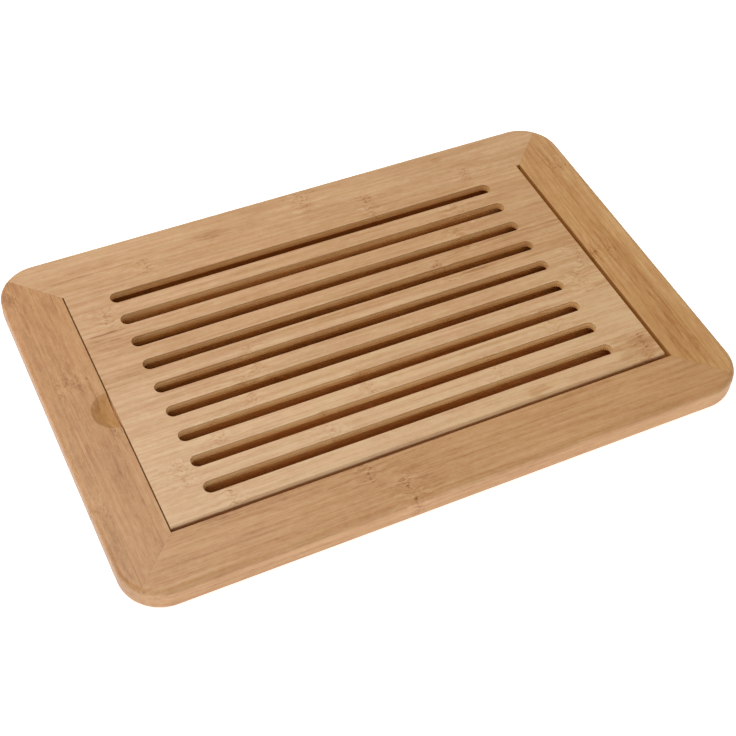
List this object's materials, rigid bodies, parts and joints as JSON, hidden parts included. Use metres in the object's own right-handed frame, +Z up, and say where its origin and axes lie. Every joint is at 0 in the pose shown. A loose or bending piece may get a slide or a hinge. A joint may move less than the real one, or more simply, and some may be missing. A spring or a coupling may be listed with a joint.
{
  "type": "bread board",
  "caption": "Mitred bamboo bread board with a crumb well under a slotted grille that lifts out by a finger scoop.",
  "frame": {"origin": "middle of the underside, on the surface that the board rests on", "axes": "+X along the length, with the finger scoop at the -X end; +Y across to the back; +Z up"},
  "size_m": [0.42, 0.276, 0.02],
  "materials": {
    "rail_bamboo": "satin oiled bamboo, planed and sanded",
    "grille_bamboo": "satin oiled bamboo, lighter than the rails",
    "panel_bamboo": "matt bamboo ply",
    "tongue_bamboo": "unfinished bamboo"
  },
  "bodies": {
    "frame": {"rail_front": "rail_bamboo", "rail_back": "rail_bamboo", "rail_left": "rail_bamboo", "rail_right": "rail_bamboo", "base_panel": "panel_bamboo", "tongue_front_left": "tongue_bamboo", "tongue_front_right": "tongue_bamboo", "tongue_back_left": "tongue_bamboo", "tongue_back_right": "tongue_bamboo"},
    "grille": {"grille": "grille_bamboo"}
  },
  "joints": [
    {"name": "grille_lift", "type": "slide", "parent": "frame", "child": "grille", "axis": [0, 0, 1], "range_m": [0, 0.06]}
  ]
}
